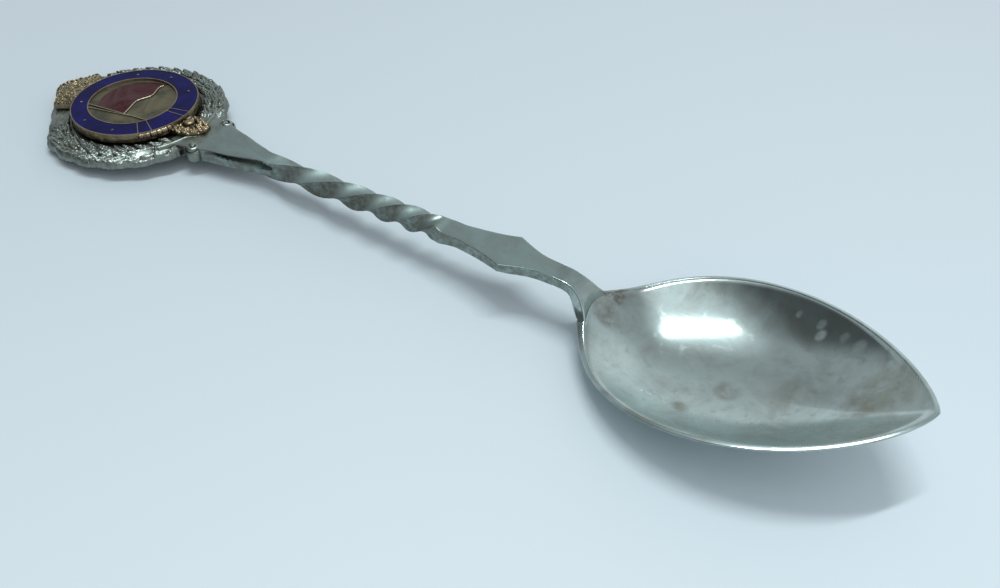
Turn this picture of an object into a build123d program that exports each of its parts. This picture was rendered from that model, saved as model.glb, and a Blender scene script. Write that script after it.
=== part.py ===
from build123d import *

import os
from math import cos, radians, sin

# A souvenir spoon: a pointed bowl, a twisted stem and a round finial with an enamelled badge.
# Frame: +X runs along the spoon to the tip of the bowl, +Z is up, and the spoon lies face up on z = 0,
# touching it with the underside of the bowl and with the outer edge of the finial plate.

# ---- driving dimensions, millimetres ---------------------------------------------------------------
BOWL_HEEL_X = 21.9
BOWL_TIP_X = 57.9
BOWL_HALF_WIDTH = 12.85
BOWL_DEPTH = 5.34
WALL = 0.75
HEEL_RIM_Z = 1.9
TIP_RIM_Z = 10.45
RIM_CROWN = 0.46
# How the outline narrows towards the heel and the tip, and how the bowl narrows with depth.
HEEL_POWER = 0.557
TIP_POWER = 0.72
ALONG_POWER = 0.47
ACROSS_POWER = 0.41
TIP_INSET = 1.2

NECK_JOINT_X = 17.4
NECK_HALF_WIDTH = 1.3
NECK_SPREAD = 5.4
# The neck seen from the side, (x, z), from behind, (y, z), and from above, (x, y).
NECK_UNDER = [(NECK_JOINT_X, 5.55), (19.2, 5.42), (20.3, 4.7), (21.1, 3.3), (21.9, 0.9)]
NECK_OVER = [(24.4, 1.9), (22.7, 2.6), (21.9, 4.4), (20.8, 5.95), (19.3, 6.65), (NECK_JOINT_X, 6.75)]
NECK_SIDE = [(NECK_SPREAD, 0.9), (3.6, 2.5), (2.0, 3.7), (1.4, 5.0), (NECK_HALF_WIDTH, 7.0)]
NECK_EDGE = [(NECK_JOINT_X, NECK_HALF_WIDTH), (19.9, 1.35), (21.1, 1.9), (22.2, 3.3), (23.8, NECK_SPREAD)]

STEM_JOINT_X = -32.2
TWIST_START_X = -22.3
TWIST_END_X = 2.0
TWIST_TURNS = 1.25
TWIST_SIDE = 2.2
STRAP_TOP = 0.85

FLARE_START_X = -37.0
FLARE_EDGE = [(FLARE_START_X, 3.9), (-35.5, 3.85), (-33.6, 3.6), (STEM_JOINT_X, 3.3)]
FLARE_PROFILE = [(FLARE_START_X, 1.72), (STEM_JOINT_X, 1.58), (STEM_JOINT_X, 3.47), (-34.5, 3.15), (FLARE_START_X, 2.5)]

FINIAL_X = -45.25
FINIAL_TILT = 4.85
REST_REACH = 11.6
PLATE_CENTRE = (0.25, -0.45)
PLATE_RADIUS = 11.85
FLAT_ANGLE = -136
FLAT_REACH = 11.1
SCALLOPS = 21
SCALLOP_DEPTH = 0.3
PLATE_THICKNESS = 0.75
WREATH_FOOT = 0.6
WREATH_HEIGHT = 1.15
WREATH_INNER_RADIUS = 8.7
WREATH_CROWN_RADIUS = 10.1
WREATH_OUTER_RADIUS = 11.45
VOLUTE_RADIUS = 1.1
VOLUTE_X = -32.6
VOLUTE_Y = 3.15
VOLUTE_BASE = 1.75
VOLUTE_HEIGHT = 1.65

BADGE_RADIUS = 8.15
BADGE_THICKNESS = 1.15
FOOT_RADIUS = 7.3
FOOT_HEIGHT = 0.45
RING_OUTER_RADIUS = 8.03
RING_INNER_RADIUS = 5.74
FIELD_RADIUS = 5.62
FIELD_OFFSET = -0.4
RING_DEPTH = 0.4
RING_FILL = 0.35
FIELD_DEPTH = 0.65
FIELD_FILL = 0.3
WIRE_HEIGHT = 0.5
WIRE_WIDTH = 0.16
CELL_WIRE_ANGLES = (-42, -30, 4, 12)
CELL_WIRE_WIDTH = 0.1
CELL_WIRE_LENGTH = 5
CELL_WIRE_RADIUS = 6.53

BAR_START = (-5.6, -3.45)
BAR_END = (5.4, -2.3)
WAVE = [(0.9, 6.3), (0.0, 4.5), (0.6, 2.4), (-0.1, 0.3), (0.4, -1.5), (0.9, -3.2)]
RED_CENTRE = (0.1, 0.3)
RED_RADIUS = 5.15

PIP_ANGLES = (52, 92, 132, 212, 252, 292)
PIP_CIRCLE_RADIUS = 6.95
PIP_SIZE = 0.28

CREST_ANGLE = 187
CREST_HALF_ANGLE = 20
CREST_RIBS = 9
CREST_RIB_LENGTH = 3.4
CREST_RIB_WIDTH = 0.5
CREST_RIB_HEIGHT = 0.2
CREST_RIB_RADIUS = 10.3
CREST_BASE = 1.2
CREST_THICKNESS = 0.6
CREST_CORNER = (10.2, 4.6)
CREST_INNER_CORNER = (7.4, 3.3)
CREST_PEAK = 12.6

CLASP_OUTLINE = [(7.5, -2.1), (10.6, -1.7), (12.2, -0.1), (11.7, 1.3), (9.6, 2.0), (7.5, 1.9), (7.5, -2.1)]
CLASP_TOP = 1.8
STUD_CENTRE = (9.1, 0.3)
STUD_RADIUS = 0.65
STUD_HEIGHT = 0.35
STUD_ROUNDING = 0.25
PEG_RADIUS = 0.6
PEG_SPACING = 9.0
PEG_LENGTH = 1.1

# Deep enough to cut through any section of the spoon.
THROUGH = 20


# ---- frames ---------------------------------------------------------------------------------------
def finial_plane(height, turn=0):
    """A plane that far above the back of the finial plate, centred on the badge and turned in its own plane."""
    tilt = radians(FINIAL_TILT)
    back_z = REST_REACH * sin(tilt)
    origin = (FINIAL_X - height * sin(tilt), 0, back_z + height * cos(tilt))
    across = radians(turn)
    x_dir = (cos(across) * cos(tilt), sin(across), cos(across) * sin(tilt))
    return Plane(origin=origin, x_dir=x_dir, z_dir=(-sin(tilt), 0, cos(tilt)))


BADGE_BASE = PLATE_THICKNESS + FOOT_HEIGHT
BADGE_TOP = BADGE_BASE + BADGE_THICKNESS


def polar(radius, angle):
    """A point in the plane of the finial, from a radius and an angle in degrees."""
    return (radius * cos(radians(angle)), radius * sin(radians(angle)))


def polar_point(lobes):
    """A point on the scalloped outline of the finial plate, counted in lobes: whole at a notch."""
    depth = 0 if lobes % 1 else SCALLOP_DEPTH
    x, y = polar(PLATE_RADIUS - depth, lobes * 360 / SCALLOPS)
    return (PLATE_CENTRE[0] + x, PLATE_CENTRE[1] + y)


# ---- bowl -----------------------------------------------------------------------------------------
bowl_length = ((BOWL_TIP_X - BOWL_HEEL_X) ** 2 + (TIP_RIM_Z - HEEL_RIM_Z) ** 2) ** 0.5
rim_x_dir = ((BOWL_TIP_X - BOWL_HEEL_X) / bowl_length, 0, (TIP_RIM_Z - HEEL_RIM_Z) / bowl_length)
rim_z_dir = (-rim_x_dir[2], 0, rim_x_dir[0])
DEEPEST = 0.5 * bowl_length
LEVELS = (0.3, 0.56, 0.77, 0.91, 0.98, 1.0)
FLAT_BOTTOM = 0.002
# The skins stand this far above the rim, this much wider, until the rim's arc trims them.
TRIM_RISE = 1.5
TRIM_SPREAD = 1.02
OUTLINE_SHARES = (0, 0.01, 0.04, 0.1, 0.2, 0.32, 0.46, 0.6, 0.73, 0.85, 0.94, 1.0)


def rim_plane(depth):
    """A plane parallel to the one through the heel and tip of the rim, that far below it."""
    origin = (BOWL_HEEL_X - depth * rim_z_dir[0], 0, HEEL_RIM_Z - depth * rim_z_dir[2])
    return Plane(origin=origin, x_dir=rim_x_dir, z_dir=rim_z_dir)


def bowl_outline(spread_along, spread_across, inset):
    """Half of the bowl's outline: blunt at the heel, pointed at the tip, shrunk about its deepest point."""
    widest = HEEL_POWER / (HEEL_POWER + TIP_POWER)
    peak = widest**HEEL_POWER * (1 - widest) ** TIP_POWER
    points = []
    for share in OUTLINE_SHARES:
        width = BOWL_HALF_WIDTH * share**HEEL_POWER * (1 - share) ** TIP_POWER / peak
        along = inset + share * (bowl_length - (1 + TIP_INSET) * inset)
        across = width * (1 - inset / BOWL_HALF_WIDTH)
        points.append((DEEPEST + (along - DEEPEST) * spread_along, across * spread_across))
    return points


def bowl_body(depth, inset):
    """The solid inside one skin of the bowl, standing a little above its rim."""
    sections = [(-TRIM_RISE, TRIM_SPREAD, TRIM_SPREAD), (0, 1, 1)]
    for level in LEVELS:
        left = max(1 - level, FLAT_BOTTOM)
        sections.append((level * depth, left**ALONG_POWER, left**ACROSS_POWER))
    with BuildPart() as body:
        for below, spread_along, spread_across in sections:
            points = bowl_outline(spread_along, spread_across, inset)
            with BuildSketch(rim_plane(below)):
                with BuildLine():
                    Spline(*points)
                    Spline(*[(x, -y) for x, y in points])
                make_face()
        loft()
    return body.part


outer_skin = bowl_body(BOWL_DEPTH, 0)
inner_skin = bowl_body(BOWL_DEPTH - WALL, WALL)

with BuildPart() as above_rim:
    with BuildSketch(Plane.XZ):
        rim_start = (BOWL_HEEL_X - 4, HEEL_RIM_Z - 1.15)
        rim_middle = ((BOWL_HEEL_X + BOWL_TIP_X) / 2, (HEEL_RIM_Z + TIP_RIM_Z) / 2 + RIM_CROWN)
        rim_end = (BOWL_TIP_X + 1.5, TIP_RIM_Z + 0.28)
        with BuildLine():
            ThreePointArc(rim_start, rim_middle, rim_end)
            Polyline(rim_end, (rim_end[0], THROUGH), (rim_start[0], THROUGH), rim_start)
        make_face()
    extrude(amount=THROUGH, both=True)

# The neck drops from the stem to the heel and spreads into the rim on both sides.
with BuildPart() as neck:
    with BuildSketch(Plane.XZ):
        with BuildLine():
            under = Spline(*NECK_UNDER)
            over = Spline(*NECK_OVER)
            Line(under @ 1, over @ 0)
            Line(over @ 1, under @ 0)
        make_face()
    extrude(amount=THROUGH, both=True)
    with BuildSketch(Plane.YZ.offset(NECK_JOINT_X)):
        with BuildLine():
            side = Spline(*NECK_SIDE)
            other_side = mirror(side, about=Plane.YZ)
            Line(side @ 0, other_side @ 0)
            Line(side @ 1, other_side @ 1)
        make_face()
    extrude(amount=THROUGH, mode=Mode.INTERSECT)
    with BuildSketch(Plane.XY):
        with BuildLine():
            edge = Spline(*NECK_EDGE)
            other_edge = mirror(edge, about=Plane.XZ)
            Line(edge @ 0, other_edge @ 0)
            Polyline(edge @ 1, (THROUGH + 5, NECK_SPREAD), (THROUGH + 5, -NECK_SPREAD), other_edge @ 1)
        make_face()
    extrude(amount=THROUGH, mode=Mode.INTERSECT)

with BuildPart() as bowl:
    add(outer_skin)
    add(above_rim.part, mode=Mode.SUBTRACT)
    add(neck.part)
    add(inner_skin, mode=Mode.SUBTRACT)


# ---- stem -----------------------------------------------------------------------------------------
def stem_height(x):
    """Height of the stem's centreline."""
    share = (x - 0.35) / 40
    return 4.92 + 3.23 * share - 1.38 * share**2 - 2.13 * share**3


TWIST_STEPS = 45


def twist_section(share):
    """One section of the twisted square bar, which winds tighter towards the bowl."""
    x = TWIST_START_X + share * (TWIST_END_X - TWIST_START_X)
    turned = -360 * TWIST_TURNS * (share + share**2) / 2
    return (x, TWIST_SIDE / 2, TWIST_SIDE / 2, turned, 0)


def strap_section(x, half_width, half_height):
    """One section of the flat strap beyond the twist, hung from its top face."""
    return (x, half_width, half_height, 0, STRAP_TOP - half_height)


# Each section is (x, half width, half height, turn in degrees, rise of its middle).
FLARE_SECTIONS = [
    (STEM_JOINT_X, 3.3, 0.95, 0, 0),
    (-30.3, 2.75, 0.96, 0, 0),
    (-28.3, 2.35, 0.98, 0, 0),
    (-26.3, 1.8, 1.0, 0, 0),
    (-24.8, 1.4, 1.08, 0, 0),
    (-23.3, 1.1, 1.1, 0, 0),
]
SHOULDER_SECTIONS = [
    strap_section(2.7, 1.28, 0.9),
    strap_section(3.5, 1.42, 0.81),
    strap_section(4.8, 1.38, 0.73),
    strap_section(6.4, 1.6, 0.68),
    strap_section(8.4, 1.95, 0.63),
    strap_section(10.2, 2.42, 0.59),
    strap_section(11.3, 2.85, 0.5),
    strap_section(12.2, 2.45, 0.58),
    strap_section(13.6, 1.88, 0.61),
    strap_section(14.8, 1.5, 0.62),
    strap_section(16.0, 1.34, 0.61),
    strap_section(NECK_JOINT_X, 1.3, 0.6),
]
TWIST_SECTIONS = [twist_section(step / TWIST_STEPS) for step in range(TWIST_STEPS + 1)]

with BuildPart() as stem:
    for x, half_width, half_height, turned, rise in FLARE_SECTIONS + TWIST_SECTIONS + SHOULDER_SECTIONS:
        with BuildSketch(Plane(origin=(x, 0, stem_height(x) + rise), x_dir=(0, 1, 0), z_dir=(1, 0, 0))):
            Rectangle(2 * half_width, 2 * half_height, rotation=turned)
    loft(ruled=True)


# ---- finial plate ---------------------------------------------------------------------------------
with BuildPart() as badge_pegs:
    with BuildSketch(finial_plane(0)):
        with Locations((-PEG_SPACING / 2, 0), (PEG_SPACING / 2, 0)):
            Circle(PEG_RADIUS)
    extrude(amount=PEG_LENGTH)

# The flare narrows from the plate to the stem, with a small volute on each side.
with BuildPart() as flare:
    with BuildSketch(Plane.XY):
        with BuildLine():
            edge = Spline(*FLARE_EDGE)
            other_edge = mirror(edge, about=Plane.XZ)
            Line(edge @ 0, other_edge @ 0)
            Line(edge @ 1, other_edge @ 1)
        make_face()
    extrude(amount=THROUGH)
    with BuildSketch(Plane.XZ):
        Polygon(*FLARE_PROFILE, align=None)
    extrude(amount=THROUGH, both=True, mode=Mode.INTERSECT)
    with BuildSketch(Plane.XY.offset(VOLUTE_BASE)):
        with Locations((VOLUTE_X, VOLUTE_Y), (VOLUTE_X, -VOLUTE_Y)):
            Circle(VOLUTE_RADIUS)
    extrude(amount=VOLUTE_HEIGHT)

with BuildPart() as finial_plate:
    with BuildSketch(finial_plane(0)):
        with BuildLine():
            for lobe in range(SCALLOPS):
                start, crest, end = [polar_point(lobe + share) for share in (0, 0.5, 1)]
                ThreePointArc(start, crest, end)
        make_face()
    extrude(amount=PLATE_THICKNESS)
    # The wreath is a low rounded ring on the border of the plate.
    back = finial_plane(0).shift_origin(finial_plane(0).from_local_coords(PLATE_CENTRE))
    with BuildSketch(Plane(origin=back.origin, x_dir=back.x_dir, z_dir=-back.y_dir)):
        with BuildLine():
            inner_foot = (WREATH_INNER_RADIUS, WREATH_FOOT)
            outer_foot = (WREATH_OUTER_RADIUS, WREATH_FOOT)
            ThreePointArc(inner_foot, (WREATH_CROWN_RADIUS, WREATH_HEIGHT), outer_foot)
            Line(outer_foot, inner_foot)
        make_face()
    revolve(axis=Axis(back.origin, back.z_dir))
    # One stretch of the edge has been worn or filed flat.
    with BuildSketch(finial_plane(0, FLAT_ANGLE)):
        with Locations((FLAT_REACH, 0)):
            Rectangle(PLATE_RADIUS, 2 * PLATE_RADIUS, align=(Align.MIN, Align.CENTER))
    extrude(amount=2 * WREATH_HEIGHT, both=True, mode=Mode.SUBTRACT)
    add(flare.part)
    add(stem.part, mode=Mode.SUBTRACT)
    add(badge_pegs.part, mode=Mode.SUBTRACT)

# ---- badge ----------------------------------------------------------------------------------------
RING_FLOOR = BADGE_TOP - RING_DEPTH
FIELD_FLOOR = BADGE_TOP - FIELD_DEPTH

with BuildPart() as ring_recess:
    with BuildSketch(finial_plane(RING_FLOOR)):
        Circle(RING_OUTER_RADIUS)
        with Locations((FIELD_OFFSET, 0)):
            Circle(RING_INNER_RADIUS, mode=Mode.SUBTRACT)
        for angle in CELL_WIRE_ANGLES:
            with Locations(polar(CELL_WIRE_RADIUS, angle)):
                Rectangle(CELL_WIRE_LENGTH, CELL_WIRE_WIDTH, rotation=angle, mode=Mode.SUBTRACT)
        for angle in PIP_ANGLES:
            with Locations(polar(PIP_CIRCLE_RADIUS, angle)):
                Rectangle(PIP_SIZE, PIP_SIZE, rotation=angle + 45, mode=Mode.SUBTRACT)
    extrude(amount=RING_DEPTH)

with BuildPart() as ring_enamel:
    add(ring_recess.part)
    split(bisect_by=finial_plane(RING_FLOOR + RING_FILL), keep=Keep.BOTTOM)

with BuildPart() as field_recess:
    with BuildSketch(finial_plane(FIELD_FLOOR)):
        with Locations((FIELD_OFFSET, 0)):
            Circle(FIELD_RADIUS)
    extrude(amount=FIELD_DEPTH)

with BuildPart() as bar_wire:
    with BuildSketch(finial_plane(FIELD_FLOOR)):
        with BuildLine():
            Line(BAR_START, BAR_END)
        trace(line_width=WIRE_WIDTH)
        with Locations((FIELD_OFFSET, 0)):
            Circle(FIELD_RADIUS, mode=Mode.INTERSECT)
    extrude(amount=WIRE_HEIGHT)

with BuildPart() as wave_wire:
    with BuildSketch(finial_plane(FIELD_FLOOR)):
        with BuildLine():
            Spline(*WAVE)
        trace(line_width=WIRE_WIDTH)
        with Locations((FIELD_OFFSET, 0)):
            Circle(FIELD_RADIUS, mode=Mode.INTERSECT)
        with BuildLine():
            beyond = -FIELD_RADIUS - 2
            Polyline(BAR_START, BAR_END, (BAR_END[0], beyond), (BAR_START[0], beyond), BAR_START)
        make_face(mode=Mode.SUBTRACT)
    extrude(amount=WIRE_HEIGHT)
    add(bar_wire.part, mode=Mode.SUBTRACT)

with BuildPart() as field_enamel:
    add(field_recess.part)
    split(bisect_by=finial_plane(FIELD_FLOOR + FIELD_FILL), keep=Keep.BOTTOM)
    add(bar_wire.part, mode=Mode.SUBTRACT)
    add(wave_wire.part, mode=Mode.SUBTRACT)

with BuildPart() as badge_body:
    with BuildSketch(finial_plane(PLATE_THICKNESS)):
        Circle(FOOT_RADIUS)
    extrude(amount=FOOT_HEIGHT)
    with BuildSketch(finial_plane(BADGE_BASE)):
        Circle(BADGE_RADIUS)
    extrude(amount=BADGE_THICKNESS)
    add(ring_recess.part, mode=Mode.SUBTRACT)
    add(field_recess.part, mode=Mode.SUBTRACT)
    add(badge_pegs.part, mode=Mode.SUBTRACT)

# The ring holds one long band of enamel, a shorter one and two small cells.
by_size = sorted(ring_enamel.part.solids(), key=lambda solid: solid.volume)
with BuildPart() as blue_enamel_cells:
    add(by_size[:2])
with BuildPart() as blue_enamel_band:
    add(by_size[2])
with BuildPart() as blue_enamel_ring:
    add(by_size[3])

# The red field lies on the crest's side of the wave; the olive one fills the rest and rims the red one.
by_place = field_enamel.part.solids().sort_by(Axis.X)
with BuildPart() as red_disc:
    with BuildSketch(finial_plane(FIELD_FLOOR)):
        with Locations(RED_CENTRE):
            Circle(RED_RADIUS)
    extrude(amount=FIELD_DEPTH)
with BuildPart() as red_enamel:
    add(by_place[0])
    add(red_disc.part, mode=Mode.INTERSECT)
with BuildPart() as olive_rim:
    add(by_place[0])
    add(red_disc.part, mode=Mode.SUBTRACT)
with BuildPart() as olive_enamel:
    add(by_place[1:])
    add(olive_rim.part)

# ---- gilt ornaments beside the badge --------------------------------------------------------------
with BuildPart() as crest:
    with BuildSketch(finial_plane(CREST_BASE, CREST_ANGLE)):
        with BuildLine():
            rim = ThreePointArc(CREST_CORNER, (CREST_PEAK, 0), (CREST_CORNER[0], -CREST_CORNER[1]))
            inner_x, inner_y = CREST_INNER_CORNER
            Polyline(rim @ 1, (inner_x, -inner_y), (inner_x, inner_y), rim @ 0)
        make_face()
        Circle(BADGE_RADIUS, mode=Mode.SUBTRACT)
    extrude(amount=CREST_THICKNESS)
    for rib in range(CREST_RIBS):
        angle = CREST_HALF_ANGLE * (2 * rib / (CREST_RIBS - 1) - 1)
        with BuildSketch(finial_plane(CREST_BASE + CREST_THICKNESS, CREST_ANGLE)):
            with Locations(polar(CREST_RIB_RADIUS, angle)):
                Rectangle(CREST_RIB_LENGTH, CREST_RIB_WIDTH, rotation=angle)
        extrude(amount=CREST_RIB_HEIGHT)

with BuildPart() as clasp_stud:
    with BuildSketch(finial_plane(CLASP_TOP)):
        with Locations(STUD_CENTRE):
            Circle(STUD_RADIUS)
    extrude(amount=STUD_HEIGHT)
    fillet(clasp_stud.faces().sort_by(Axis.Z)[-1].edges(), radius=STUD_ROUNDING)

with BuildPart() as clasp:
    with BuildSketch(finial_plane(WREATH_HEIGHT)):
        with BuildLine():
            Polyline(*CLASP_OUTLINE)
        make_face()
        Circle(BADGE_RADIUS, mode=Mode.SUBTRACT)
    extrude(amount=CLASP_TOP - WREATH_HEIGHT)
    add(finial_plate.part, mode=Mode.SUBTRACT)

# ---- files ----------------------------------------------------------------------------------------
bowl.part.label = "bowl"
stem.part.label = "stem"
finial_plate.part.label = "finial_plate"
badge_body.part.label = "badge_body"
badge_pegs.part.label = "badge_pegs"
blue_enamel_ring.part.label = "blue_enamel_ring"
blue_enamel_band.part.label = "blue_enamel_band"
blue_enamel_cells.part.label = "blue_enamel_cells"
red_enamel.part.label = "red_enamel"
olive_enamel.part.label = "olive_enamel"
bar_wire.part.label = "bar_wire"
wave_wire.part.label = "wave_wire"
crest.part.label = "crest"
clasp.part.label = "clasp"
clasp_stud.part.label = "clasp_stud"

os.makedirs("parts", exist_ok=True)
export_step(bowl.part, "parts/bowl.step")
export_step(stem.part, "parts/stem.step")
export_step(finial_plate.part, "parts/finial_plate.step")
export_step(badge_body.part, "parts/badge_body.step")
export_step(badge_pegs.part, "parts/badge_pegs.step")
export_step(blue_enamel_ring.part, "parts/blue_enamel_ring.step")
export_step(blue_enamel_band.part, "parts/blue_enamel_band.step")
export_step(blue_enamel_cells.part, "parts/blue_enamel_cells.step")
export_step(red_enamel.part, "parts/red_enamel.step")
export_step(olive_enamel.part, "parts/olive_enamel.step")
export_step(bar_wire.part, "parts/bar_wire.step")
export_step(wave_wire.part, "parts/wave_wire.step")
export_step(crest.part, "parts/crest.step")
export_step(clasp.part, "parts/clasp.step")
export_step(clasp_stud.part, "parts/clasp_stud.step")
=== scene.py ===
"""Looks of the souvenir spoon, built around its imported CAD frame. Everything is in metres."""
import math

import bmesh
import bpy
import numpy as np
from mathutils import Matrix, Vector


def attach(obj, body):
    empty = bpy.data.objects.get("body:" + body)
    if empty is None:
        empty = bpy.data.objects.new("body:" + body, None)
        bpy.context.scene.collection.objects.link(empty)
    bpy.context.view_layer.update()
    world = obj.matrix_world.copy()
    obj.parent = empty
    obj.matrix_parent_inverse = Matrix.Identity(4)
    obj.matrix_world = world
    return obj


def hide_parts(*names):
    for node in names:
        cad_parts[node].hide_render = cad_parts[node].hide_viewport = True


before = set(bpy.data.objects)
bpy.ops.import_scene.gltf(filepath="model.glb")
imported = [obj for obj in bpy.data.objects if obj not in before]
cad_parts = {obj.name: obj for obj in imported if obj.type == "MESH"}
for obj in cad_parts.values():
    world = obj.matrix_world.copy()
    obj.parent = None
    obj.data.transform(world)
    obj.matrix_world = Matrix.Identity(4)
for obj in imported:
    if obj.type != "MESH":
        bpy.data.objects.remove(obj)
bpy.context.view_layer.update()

MM = 0.001


# ---- mesh helpers ----
def smoothstep(zero_at, one_at, value):
    """0 up to zero_at, 1 from one_at on, and a smooth ramp between them, rising or falling."""
    share = np.clip((np.asarray(value, float) - zero_at) / (one_at - zero_at), 0, 1)
    return share * share * (3 - 2 * share)


def hump(value, middle, width):
    """1 at the middle, fading away smoothly on both sides."""
    return np.exp(-(((value - middle) / width) ** 2))


def round_top(share):
    """The height of a half circle at a share of its radius, 0 beyond it."""
    return np.sqrt(np.clip(1 - share**2, 0, 1))


def polar(r, angle, z):
    """Points at a radius, an angle and a height."""
    r, angle, z = np.broadcast_arrays(r, angle, z)
    return np.stack([r * np.cos(angle), r * np.sin(angle), z], -1)


def spline_through(stations, values, at):
    """A smooth curve through the given values (monotone cubic, so it never overshoots a corner)."""
    x, y = np.asarray(stations, float), np.asarray(values, float)
    step, slope = np.diff(x), np.diff(y) / np.diff(x)
    tangent = np.zeros_like(y)
    for i in range(1, len(x) - 1):
        if slope[i - 1] * slope[i] > 0:
            a, b = 2 * step[i] + step[i - 1], step[i] + 2 * step[i - 1]
            tangent[i] = (a + b) / (a / slope[i - 1] + b / slope[i])
    tangent[0], tangent[-1] = slope[0], slope[-1]
    at = np.clip(np.asarray(at, float), x[0], x[-1])
    i = np.clip(np.searchsorted(x, at) - 1, 0, len(x) - 2)
    t = (at - x[i]) / step[i]
    return (
        y[i] * (1 + 2 * t) * (1 - t) ** 2
        + tangent[i] * step[i] * t * (1 - t) ** 2
        + y[i + 1] * t * t * (3 - 2 * t)
        + tangent[i + 1] * step[i] * t * t * (t - 1)
    )


def make_object(name, points, faces, material, smooth_angle=35, slot="silver"):
    """A mesh object from points in millimetres, with smooth shading up to an angle."""
    mesh = bpy.data.meshes.new(name)
    mesh.from_pydata((np.asarray(points, float) * MM).tolist(), [], faces)
    mesh.validate()
    piece = bpy.data.objects.new(name, mesh)
    bpy.context.scene.collection.objects.link(piece)
    finish_mesh(piece, material, smooth_angle)
    return piece


def finish_mesh(piece, material, smooth_angle):
    """Merges doubled points, points the faces outwards and sets shading and material."""
    work = bmesh.new()
    work.from_mesh(piece.data)
    bmesh.ops.remove_doubles(work, verts=work.verts, dist=1e-7)
    bmesh.ops.recalc_face_normals(work, faces=work.faces)
    for face in work.faces:
        face.smooth = True
    limit = math.radians(smooth_angle)
    for edge in work.edges:
        edge.smooth = len(edge.link_faces) == 2 and edge.calc_face_angle(0) < limit
    work.to_mesh(piece.data)
    work.free()
    piece.data.materials.clear()
    piece.data.materials.append(material)


def loft(rings):
    """Points and faces of a closed skin over rings with the same number of points each."""
    count = len(rings[0])
    points = np.concatenate(rings)
    faces = []
    for row in range(len(rings) - 1):
        for i in range(count):
            j = (i + 1) % count
            faces.append((row * count + i, row * count + j, (row + 1) * count + j, (row + 1) * count + i))
    faces.append(tuple(range(count - 1, -1, -1)))
    faces.append(tuple(range((len(rings) - 1) * count, len(rings) * count)))
    return points, faces


def unite(piece, *others):
    """Joins closed pieces into the first one with exact Booleans, and removes the others."""
    for other in others:
        modifier = piece.modifiers.new("unite", "BOOLEAN")
        modifier.operation = "UNION"
        modifier.solver = "EXACT"
        modifier.object = other
        depsgraph = bpy.context.evaluated_depsgraph_get()
        mesh = bpy.data.meshes.new_from_object(piece.evaluated_get(depsgraph))
        piece.modifiers.clear()
        piece.data = mesh
        bpy.data.objects.remove(other)


# ---- materials ----
class Nodes:
    """Short ways to add nodes to one node tree."""

    def __init__(self, tree):
        self.tree = tree

    def feed(self, socket, value):
        """Links a socket to another one, or sets it to a constant; colours come without alpha."""
        if isinstance(value, bpy.types.NodeSocket):
            self.tree.links.new(value, socket)
        elif socket.type == "RGBA":
            socket.default_value = (*value, 1)
        else:
            socket.default_value = value

    def node(self, kind, **inputs):
        """A node with its inputs fed; an underscore in a name stands for a space."""
        made = self.tree.nodes.new(kind)
        for key, value in inputs.items():
            self.feed(made.inputs[key.replace("_", " ")], value)
        return made

    def vector_math(self, operation, first, second):
        """One arithmetic step on two vectors."""
        made = self.tree.nodes.new("ShaderNodeVectorMath")
        made.operation = operation
        self.feed(made.inputs[0], first)
        self.feed(made.inputs[1], second)
        return made.outputs

    def math(self, operation, first, second):
        """One arithmetic step on two values."""
        made = self.tree.nodes.new("ShaderNodeMath")
        made.operation = operation
        self.feed(made.inputs[0], first)
        self.feed(made.inputs[1], second)
        return made.outputs[0]

    def plus(self, first, second):
        return self.math("ADD", first, second)

    def times(self, first, second):
        return self.math("MULTIPLY", first, second)

    def ramp(self, value, *stops):
        """A colour ramp over (position, grey or colour) stops."""
        made = self.node("ShaderNodeValToRGB", Fac=value)
        elements = made.color_ramp.elements
        while len(elements) < len(stops):
            elements.new(0.5)
        for element, (position, colour) in zip(elements, stops):
            element.position = position
            if not hasattr(colour, "__len__"):
                colour = (colour, colour, colour)
            element.color = (*colour, 1)
        return made.outputs["Color"]

    def mix(self, share, first, second, mode="MIX"):
        """Two colours mixed by a share, or combined in another blend mode."""
        made = self.tree.nodes.new("ShaderNodeMix")
        made.data_type = "RGBA"
        made.blend_type = mode
        self.feed(made.inputs[0], share)
        self.feed(made.inputs[6], first)
        self.feed(made.inputs[7], second)
        return made.outputs[2]

    def between(self, value, zero_at, one_at):
        """0 up to zero_at, 1 from one_at on, smooth in between, rising or falling."""
        made = self.node("ShaderNodeMapRange", Value=value, From_Min=zero_at, From_Max=one_at)
        made.interpolation_type = "SMOOTHSTEP"
        return made.outputs["Result"]


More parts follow.
